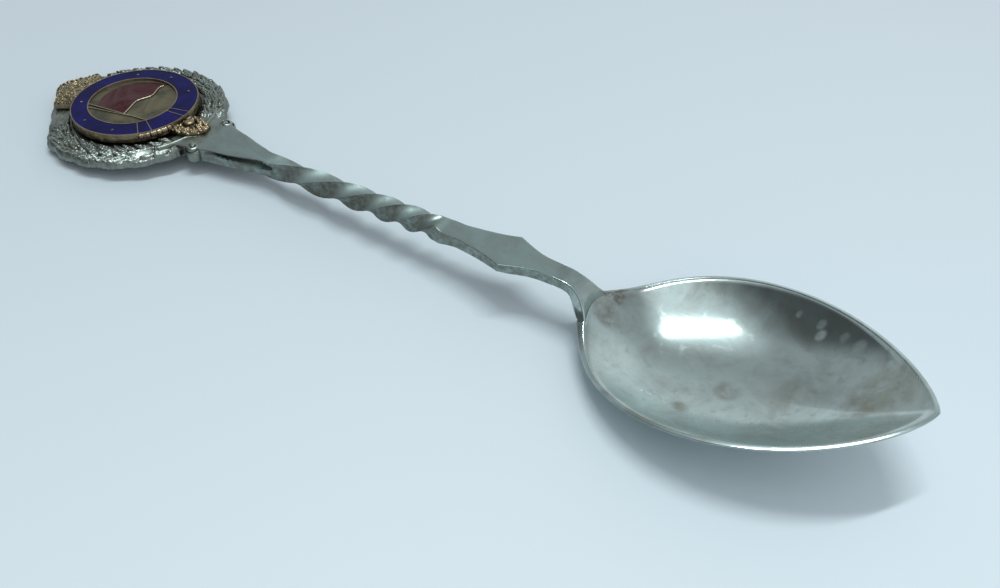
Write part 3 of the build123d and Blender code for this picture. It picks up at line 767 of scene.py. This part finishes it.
def plate_height(x, y):
    """Top of the plate: a domed wreath, its ribbons, and a smooth collar where the stem joins."""
    rng = np.random.default_rng(LEAF_SEED)
    from_badge, around = np.hypot(x, y), np.degrees(np.arctan2(np.abs(y), x))
    # the wreath fills the space between the badge and the edge, wider on one side than on the other
    available = plate_reach(np.arctan2(y, x)) - WREATH_INNER
    r = WREATH_INNER + (from_badge - WREATH_INNER) * WREATH_WIDTH / available
    dome = WREATH_DOME * round_top((r - WREATH_MIDDLE) / WREATH_HALF_WIDTH)
    base = WREATH_BASE + dome + 0.13 * smoothstep(8.6, WREATH_INNER, r)
    leaves = np.zeros_like(r)
    for row in LEAF_ROWS:
        leaves = np.maximum(leaves, leaf_row(x, y, r, *row, rng))
    grain = np.sin(9.1 * x + 4.3 * y) * np.sin(8.3 * y - 5.2 * x)
    grain = grain + np.sin(17 * x - 11 * y) * np.sin(13 * y + 15 * x)
    rubbed = 1 - 0.75 * (y < 0) * smoothstep(RUBBED_FROM, RUBBED_TO, around)
    beside_stem = smoothstep(COLLAR_FULL, COLLAR_GONE, around)
    height = base + (leaves + 0.028 * grain) * rubbed * smoothstep(8.15, 8.5, r) * beside_stem
    for strip in RIBBONS:
        height = np.where(y < 0, ribbon(height, r, around, *strip), height)
    # a smooth ridge runs from the ribbon past the clasp to the stem
    ridge_radius = 10.5 + 1.9 * smoothstep(12, 0, around)
    ridge = RIDGE_TOP - ((from_badge - ridge_radius) / 0.6) ** 2
    ridge = np.where(around < RIDGE_END, ridge, 0)
    collar = (0.95 + 0.05 * (12.1 - r)) * (1 - beside_stem) * smoothstep(8.4, 9.2, r)
    return np.maximum(np.maximum(height, collar), ridge)


PLATE_GRID, PLATE_OPENING, PLATE_EDGE = (72, 760), 0.56, 0.16


def plate_piece():
    """The plate with its wreath, joined to the foot of the flare and to the two volutes beside it."""
    relief = relief_disc((0, 0), plate_outline, plate_height, 0.0, *PLATE_GRID, PLATE_OPENING, PLATE_EDGE)
    plate = make_object("wreath_plate", *relief, wreath_silver, 32)
    flare_x = np.linspace(FLARE_START_X, STEM_START_X, 60)
    flare = make_object("flare_blank", *loft([bar_ring(value) for value in flare_x]), wreath_silver)
    volutes = [make_object("volute_blank", *volute_mesh(side), wreath_silver) for side in (-1, 1)]
    unite(plate, flare, *volutes)
    finish_mesh(plate, wreath_silver, 32)
    return plate


VOLUTE_X, VOLUTE_ASIDE, VOLUTE_AROUND = -32.6, 3.05, 64
VOLUTE_SHOULDER, VOLUTE_DOME = 3.08, 0.55
SCROLL_TURNS, SCROLL_DEPTH = 1.9, 0.32
# The wall of a volute: radius and height, from the middle of its foot up to its shoulder.
VOLUTE_WALL = ((0.03, 1.62), (0.98, 1.62), (1.08, 1.74), (1.12, 2.0), (1.12, 2.7), (1.1, 2.95), (1.03, 3.06))


def volute_mesh(side):
    """A small scroll beside the flare: a button whose domed top is cut by a spiral groove."""
    centre = np.array([VOLUTE_X, VOLUTE_ASIDE * side, 0])
    angle = np.arange(VOLUTE_AROUND) * 2 * math.pi / VOLUTE_AROUND
    turn = side * angle / (2 * math.pi)
    profile = list(VOLUTE_WALL)
    for r in np.linspace(1.0, 0.04, 26):
        groove = hump((r * SCROLL_TURNS - turn) % 1, 0.5, 0.15) * smoothstep(0.05, 0.3, r)
        profile.append((r, VOLUTE_SHOULDER + VOLUTE_DOME * round_top(r) - SCROLL_DEPTH * groove))
    return loft([centre + polar(r, angle, z) for r, z in profile])


ride(plate_piece(), "finial_plate")


# ---- crest and clasp ----
CREST_ANGLE, CREST_HALF_SPAN, CREST_RIBS = 187, 24.5, 9
CREST_INNER, CREST_SIDE_REACH, CREST_PEAK, CREST_PEAK_WIDTH = 8.0, 10.75, 1.75, 12.5
CREST_FOOT, CREST_TOP = 1.2, 1.80
RIB_RISE, BEAD_RISE = 0.11, 0.24
CREST_ACROSS, CREST_OUT = 120, 46


def crest_mesh():
    """A fan of cast ribs with a beaded border, its inner edge against the badge."""
    angle = np.radians(CREST_ANGLE + np.linspace(-1, 1, CREST_ACROSS) * CREST_HALF_SPAN)
    away = np.degrees(angle) - CREST_ANGLE
    along = away / (2 * CREST_HALF_SPAN)
    reach = CREST_SIDE_REACH + CREST_PEAK * hump(away, 0, CREST_PEAK_WIDTH)
    reach = reach + 0.1 * np.abs(np.cos(along * CREST_RIBS * math.pi))
    share = np.linspace(0, 1, CREST_OUT)[:, None]
    r = CREST_INNER + (reach - CREST_INNER) * share
    rib = np.abs(np.sin((along + 0.5) * CREST_RIBS * math.pi)) ** 0.7
    border = hump(share, 0.88, 0.07)
    inner_band = hump(share, 0.42, 0.05)
    bead = np.abs(np.sin((along + 0.5) * 2 * CREST_RIBS * math.pi))
    top = CREST_TOP + RIB_RISE * rib * (1 - border) * (1 - inner_band)
    top = top + BEAD_RISE * bead * (border + 0.8 * inner_band)
    end_border = hump(away, 22.3, 1.3)
    top = top * (1 - end_border) + (1.82 + 0.26 * np.abs(np.sin(share * 8 * math.pi))) * end_border
    grain = 0.07 * np.sin(57 * share + 9 * away) * np.sin(43 * share - 7.1 * away)
    grain = grain + 0.05 * np.sin(31 * share - 4.3 * away) * np.sin(71 * share + 3.7 * away)
    edge = np.minimum(smoothstep(0, 0.05, 1 - share), smoothstep(0, 0.04, 1 - 2 * np.abs(along)))
    top = (top + grain) - 0.2 * (1 - edge)
    return slab(polar(r, angle, top), polar(r, angle, CREST_FOOT))


def slab(upper, lower):
    """A closed slab between two grids of points, one above the other."""
    rows, columns = upper.shape[:2]
    count = rows * columns
    points = np.concatenate([upper.reshape(-1, 3), lower.reshape(-1, 3)])
    faces = []
    for i in range(rows - 1):
        for j in range(columns - 1):
            a = i * columns + j
            quad = (a, a + 1, a + columns + 1, a + columns)
            faces.append(quad)
            faces.append(tuple(k + count for k in reversed(quad)))
    border = list(range(columns)) + [i * columns + columns - 1 for i in range(1, rows)]
    border += [(rows - 1) * columns + j for j in range(columns - 2, -1, -1)]
    border += [i * columns for i in range(rows - 2, 0, -1)]
    for a, b in zip(border, border[1:] + border[:1]):
        faces.append((b, a, a + count, b + count))
    return on_finial(points), faces


def polygon_reach(centre, corners):
    """The distance from a centre to a convex polygon round it, as a function of the angle."""
    corners = np.array(corners, float) - centre
    along = np.roll(corners, -1, 0) - corners
    outwards = np.stack([along[:, 1], -along[:, 0]], 1)
    away = (outwards * corners).sum(1)[:, None]

    def reach(angle):
        facing = outwards @ np.stack([np.cos(angle), np.sin(angle)])
        return np.where(facing > 1e-9, away / np.maximum(facing, 1e-9), np.inf).min(0)

    return reach


CLASP_CENTRE = (9.9, 0.1)
CLASP_CORNERS = ((7.9, -2.1), (10.6, -1.7), (12.2, -0.1), (11.7, 1.3), (9.6, 2.0), (7.9, 1.9))
CLASP_FOOT, CLASP_TOP, CLASP_FLUTING = 1.0, 1.60, 0.20
STUD_CENTRE, STUD_RADIUS, STUD_DOME_RADIUS = (9.1, 0.3), 0.63, 0.7
STUD_FOOT, STUD_TOP, STUD_DOME = 1.7, 1.82, 0.32


def clasp_height(x, y):
    """Tooled top of the clasp: flutes that fan out from the stud, crossed by small chased hollows."""
    dx, dy = x - STUD_CENTRE[0], y - STUD_CENTRE[1]
    r, angle = np.hypot(dx, dy), np.arctan2(dy, dx)
    flutes = np.abs(np.sin(5.5 * angle + 0.8 * r)) ** 0.8
    hollows = np.sin(9.3 * x + 2.9 * y) * np.sin(8.1 * y - 3.3 * x + 1.0)
    moat = hump(r, 0.78, 0.13)
    return CLASP_TOP + CLASP_FLUTING * flutes * smoothstep(0.7, 1.3, r) + 0.12 * hollows - 0.2 * moat


clasp_reach = polygon_reach(CLASP_CENTRE, CLASP_CORNERS)
clasp_relief = relief_disc(CLASP_CENTRE, clasp_reach, clasp_height, CLASP_FOOT, 26, 150)
ride(make_object("tooled_clasp", *clasp_relief, clasp_gilt, 40, "gilt_brass"), "clasp")


def stud_height(x, y):
    """The stud's dome, with a small dimple in its middle."""
    r = np.hypot(x - STUD_CENTRE[0], y - STUD_CENTRE[1])
    return STUD_TOP + STUD_DOME * round_top(r / STUD_DOME_RADIUS) - 0.06 * hump(r, 0, 0.16)


def stud_reach(angle):
    """The stud's round outline."""
    return np.full(len(angle), STUD_RADIUS)


stud_relief = relief_disc(STUD_CENTRE, stud_reach, stud_height, STUD_FOOT, 12, 40, edge=0.06)
ride(make_object("clasp_stud_head", *stud_relief, gilt, 40, "gilt_brass"), "clasp_stud")
ride(make_object("beaded_crest", *crest_mesh(), crest_gilt, 40, "gilt_brass"), "crest")


# ---- badge ----
def softened_copy(name, node, width, material):
    """A copy of a CAD piece with its sharp edges rounded off."""
    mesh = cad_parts[node].data.copy()
    piece = bpy.data.objects.new(name, mesh)
    bpy.context.scene.collection.objects.link(piece)
    work = bmesh.new()
    work.from_mesh(mesh)
    bmesh.ops.remove_doubles(work, verts=work.verts, dist=2e-6)
    bmesh.ops.dissolve_limit(work, angle_limit=math.radians(1), verts=work.verts, edges=work.edges)
    inner_edges = [edge for edge in work.edges if len(edge.link_faces) == 2]
    sharp = [edge for edge in inner_edges if edge.calc_face_angle(0) > math.radians(40)]
    bmesh.ops.bevel(
        work, geom=sharp, offset=width * MM, segments=2, profile=0.6, affect="EDGES", clamp_overlap=True
    )
    work.to_mesh(mesh)
    work.free()
    finish_mesh(piece, material, 35)
    return piece


MILLED_FROM, MILLED_TO, MILLED_AROUND = -44, -11, 150
MILLED_BOTTOM, MILLED_TOP, MILLED_ROWS = 1.42, 2.22, 9
MILLED_BACK, MILLED_FACE = 7.95, 8.08


def milled_band():
    """A raised, milled strip on the wall of the badge, next to the clasp."""
    angle = np.radians(np.linspace(MILLED_FROM, MILLED_TO, MILLED_AROUND))
    height = np.linspace(MILLED_BOTTOM, MILLED_TOP, MILLED_ROWS)[:, None]
    bulge = np.sin(np.linspace(0, math.pi, MILLED_ROWS))[:, None] ** 0.5
    along = np.linspace(0, 1, MILLED_AROUND)
    ends = smoothstep(0, 0.05, along) * smoothstep(0, 0.05, along[::-1])
    teeth = np.abs(np.sin(angle * 34)) ** 0.6 + 0.4 * np.sin(angle * 90) ** 2
    face = MILLED_FACE + (0.14 + 0.2 * teeth) * bulge * ends
    return slab(polar(face, angle, height), polar(MILLED_BACK, angle, height))


BADGE_SOFTENING = 0.05
badge = softened_copy("badge_shell", "badge_body", BADGE_SOFTENING, gilt)
unite(badge, make_object("milled_blank", *milled_band(), gilt))
finish_mesh(badge, gilt, 35)
ride(badge, "badge_body")


WIRE_SIDES = 10


def wire_mesh(path, radius, height):
    """A round wire laid along a path on the badge, its thickness a little uneven."""
    path = np.array(path, float)
    ahead = np.gradient(path, axis=0)
    ahead /= np.linalg.norm(ahead, axis=1)[:, None]
    aside = np.stack([-ahead[:, 1], ahead[:, 0]], 1)
    turn = np.arange(WIRE_SIDES) * 2 * math.pi / WIRE_SIDES
    rings = []
    for i in range(len(path)):
        r = radius * (0.9 + 0.12 * math.sin(i * 1.7))
        flat = path[i] + r * np.cos(turn)[:, None] * aside[i]
        rings.append(np.column_stack([flat, height + r * np.sin(turn)]))
    points, faces = loft(rings)
    return on_finial(points), faces


def straight(start, end):
    """Points along a straight line."""
    share = np.linspace(0, 1, 24)[:, None]
    return np.array(start) * (1 - share) + np.array(end) * share


WIRE_LEVEL = 2.12
LONG_RADIUS, SHORT_RADIUS, WAVE_RADIUS = 0.085, 0.075, 0.10
LONG_BAR, SHORT_BAR = ((-5.35, -3.41), (4.55, -2.39)), ((-4.6, -4.0), (1.6, -2.76))
WAVE_ENDS, WAVE_POINTS = (-2.9, 5.05), 60
# The wave's line: heights up the badge and how far the wire stands aside there.
WAVE_STATIONS, WAVE_ASIDE = (-3.2, -1.5, 0.3, 2.4, 4.5, 6.3), (0.9, 0.4, -0.1, 0.6, 0.0, 0.9)

long_wire = wire_mesh(straight(*LONG_BAR), LONG_RADIUS, WIRE_LEVEL)
short_wire = wire_mesh(straight(*SHORT_BAR), SHORT_RADIUS, WIRE_LEVEL - 0.01)
bar_wires = make_object("bar_wires", *long_wire, wire_gilt_with_painted_light, 60, "gilt_brass")
unite(bar_wires, make_object("bar_blank", *short_wire, wire_gilt_with_painted_light))
finish_mesh(bar_wires, wire_gilt_with_painted_light, 60)
ride(bar_wires, "bar_wire")

wave_y = np.linspace(*WAVE_ENDS, WAVE_POINTS)
wave_path = np.column_stack([spline_through(WAVE_STATIONS, WAVE_ASIDE, wave_y), wave_y])
wave_wire = wire_mesh(wave_path, WAVE_RADIUS, WIRE_LEVEL)
ride(make_object("wave_line", *wave_wire, wire_gilt_with_painted_light, 60, "gilt_brass"), "wave_wire")


# ---- CAD pieces that stay ----
node_materials = {
    "badge_pegs": gilt,
    "blue_enamel_ring": blue_enamel,
    "blue_enamel_band": blue_enamel,
    "blue_enamel_cells": blue_enamel,
    "red_enamel": red_enamel,
    "olive_enamel": olive_enamel,
}
for node, material in node_materials.items():
    node_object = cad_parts[node]
    node_object.data.materials.clear()
    node_object.data.materials.append(material)


# ---- floor, light and camera ----
FLOOR_REACH = 1.2
PAPER_COLOURS = ((0.70, 0.785, 0.845), (0.74, 0.815, 0.865))
# Turns in radians that lay the paper's painted light gradients along the camera's view and across it.
ALONG_VIEW, ACROSS_VIEW = -0.45, -0.456


def floor_material():
    """Pale paper with painted light: painted darker away from the camera, and a little brighter near it and
    on the right.
    """
    s = Shader("floor_paper")
    colour = s.mix(s.noise(6, 3), *PAPER_COLOURS)
    # painted light: the paper is shaded darker far off and lit brighter near the camera and to the right
    beyond = s.axis(s.stretched((5.0, 5.0, 5.0), ALONG_VIEW), "Y")
    before = s.axis(s.stretched((-5.0, -5.0, 5.0), ALONG_VIEW), "Y")
    painted_falloff_shade = s.ramp(beyond, (0.0, (0.98, 0.99, 1.0)), (0.42, (0.87, 0.86, 0.87)))
    painted_near_light = s.ramp(before, (0.0, (1.0, 1.0, 1.0)), (0.3, (1.16, 1.15, 1.14)))
    colour = s.mix(1.0, s.mix(1.0, colour, painted_falloff_shade, "MULTIPLY"), painted_near_light, "MULTIPLY")
    sideways = s.between(s.axis(s.stretched((1.0, 1.0, 1.0), ACROSS_VIEW), "X"), -0.09, 0.09)
    colour = s.mix(1.0, colour, s.ramp(sideways, (0.0, 0.9), (0.5, 1.0), (1.0, 1.06)), "MULTIPLY")
    s.set(Base_Color=colour, Roughness=0.9, Specular_IOR_Level=0.1)
    return s.material


def build_floor():
    """One level sheet of paper under the spoon."""
    mesh = bpy.data.meshes.new("floor")
    corners = [(FLOOR_REACH * x, FLOOR_REACH * y, 0) for x, y in ((-1, -1), (1, -1), (1, 1), (-1, 1))]
    mesh.from_pydata(corners, [], [(0, 1, 2, 3)])
    floor = bpy.data.objects.new("floor", mesh)
    floor.data.materials.append(floor_material())
    bpy.context.scene.collection.objects.link(floor)


STUDIO_TINT, STUDIO_STRENGTH = (0.92, 0.98, 1.0), 1.0
UP, WINDOW_SIDE, FILL_SIDE = (0.0, 0.0, 1.0), (0.0, 1.0, 0.0), (0.75, -0.5, 0.45)
# Where the far side's greys give way to the window side's, as the cosine towards the window.
TURNOVER_FROM, TURNOVER_TO = -0.22, 0.06
# Greys of the studio as (cosine, grey): upwards on each side, then towards the window and the fill card.
WINDOW_SIDE_GREYS = (
    (0.0, 0.48), (0.2, 0.50), (0.5, 0.46), (0.7, 0.40), (0.85, 0.42), (0.95, 0.85), (1.0, 0.95)
)
FAR_SIDE_GREYS = ((0.0, 0.12), (0.5, 0.09), (0.7, 0.12), (0.85, 0.32), (0.95, 0.8), (1.0, 0.95))
WINDOW_GLOW = ((0.0, 0.0), (0.55, 0.0), (0.9, 0.28), (1.0, 0.3))
FILL_GLOW = ((0.0, 0.0), (0.45, 0.0), (0.7, 0.25), (0.85, 0.42), (1.0, 0.5))


def build_world():
    """A plain studio: pale overhead, grey low down on the window's side and darker on the other side."""
    world = bpy.data.worlds.new("studio")
    bpy.context.scene.world = world
    world.use_nodes = True
    studio = Nodes(world.node_tree)
    place = studio.node("ShaderNodeTexCoord").outputs["Generated"]

    def glow(direction, greys):
        """Tinted greys by the cosine between the view and a direction."""
        cosine = studio.vector_math("DOT_PRODUCT", place, Vector(direction).normalized())["Value"]
        return studio.ramp(cosine, *((at, [grey * c for c in STUDIO_TINT]) for at, grey in greys))

    towards_window = studio.vector_math("DOT_PRODUCT", place, WINDOW_SIDE)["Value"]
    side = studio.between(towards_window, TURNOVER_FROM, TURNOVER_TO)
    shade = studio.mix(side, glow(UP, FAR_SIDE_GREYS), glow(UP, WINDOW_SIDE_GREYS))
    shade = studio.mix(1.0, shade, glow(WINDOW_SIDE, WINDOW_GLOW), "ADD")
    shade = studio.mix(1.0, shade, glow(FILL_SIDE, FILL_GLOW), "ADD")
    background = world.node_tree.nodes["Background"]
    studio.feed(background.inputs["Color"], shade)
    background.inputs["Strength"].default_value = STUDIO_STRENGTH


WINDOW_PLACE, WINDOW_TURN = (-0.06, 0.18, 0.97), 54
WINDOW_SIZE, WINDOW_POWER, WINDOW_COLOUR = (0.55, 0.045), 3.8, (0.93, 1.0, 1.0)


def build_window():
    """A long soft light, level and nearly overhead, turned to lie along the far side of the bowl."""
    data = bpy.data.lights.new("window", "AREA")
    data.shape = "RECTANGLE"
    data.size, data.size_y = WINDOW_SIZE
    data.energy = WINDOW_POWER
    data.color = WINDOW_COLOUR
    light = bpy.data.objects.new("window", data)
    turned = Matrix.Rotation(math.radians(WINDOW_TURN), 4, "Z")
    light.matrix_world = Matrix.Translation(WINDOW_PLACE) @ turned
    bpy.context.scene.collection.objects.link(light)


# Azimuth, elevation and roll in degrees; place in metres; lens in millimetres on a 36 mm sensor.
CAMERA_ANGLES, CAMERA_PLACE = (26.119, 44.409, 6.095), (0.047527, -0.075185, 0.081365)
CAMERA_LENS, CAMERA_SENSOR, CAMERA_CLIP = 36.198, 36, 0.005


def build_camera():
    """The viewing angle, roll and distance that put the spoon in its frame."""
    azimuth, elevation, roll = (math.radians(angle) for angle in CAMERA_ANGLES)
    level_right = Vector((math.cos(azimuth), math.sin(azimuth), 0))
    level_back = Vector((math.sin(azimuth), -math.cos(azimuth), 0))
    back = math.cos(elevation) * level_back + Vector((0, 0, math.sin(elevation)))
    level_up = level_right.cross(-back)
    right = math.cos(roll) * level_right + math.sin(roll) * level_up
    up = math.cos(roll) * level_up - math.sin(roll) * level_right
    data = bpy.data.cameras.new("camera")
    data.sensor_width = CAMERA_SENSOR
    data.lens = CAMERA_LENS
    data.clip_start = CAMERA_CLIP
    camera = bpy.data.objects.new("camera", data)
    turned = Matrix((right, up, back)).transposed().to_4x4()
    camera.matrix_world = Matrix.Translation(CAMERA_PLACE) @ turned
    bpy.context.scene.collection.objects.link(camera)
    bpy.context.scene.camera = camera


build_floor()
build_world()
build_window()
build_camera()
bpy.context.scene.view_settings.view_transform = "Standard"
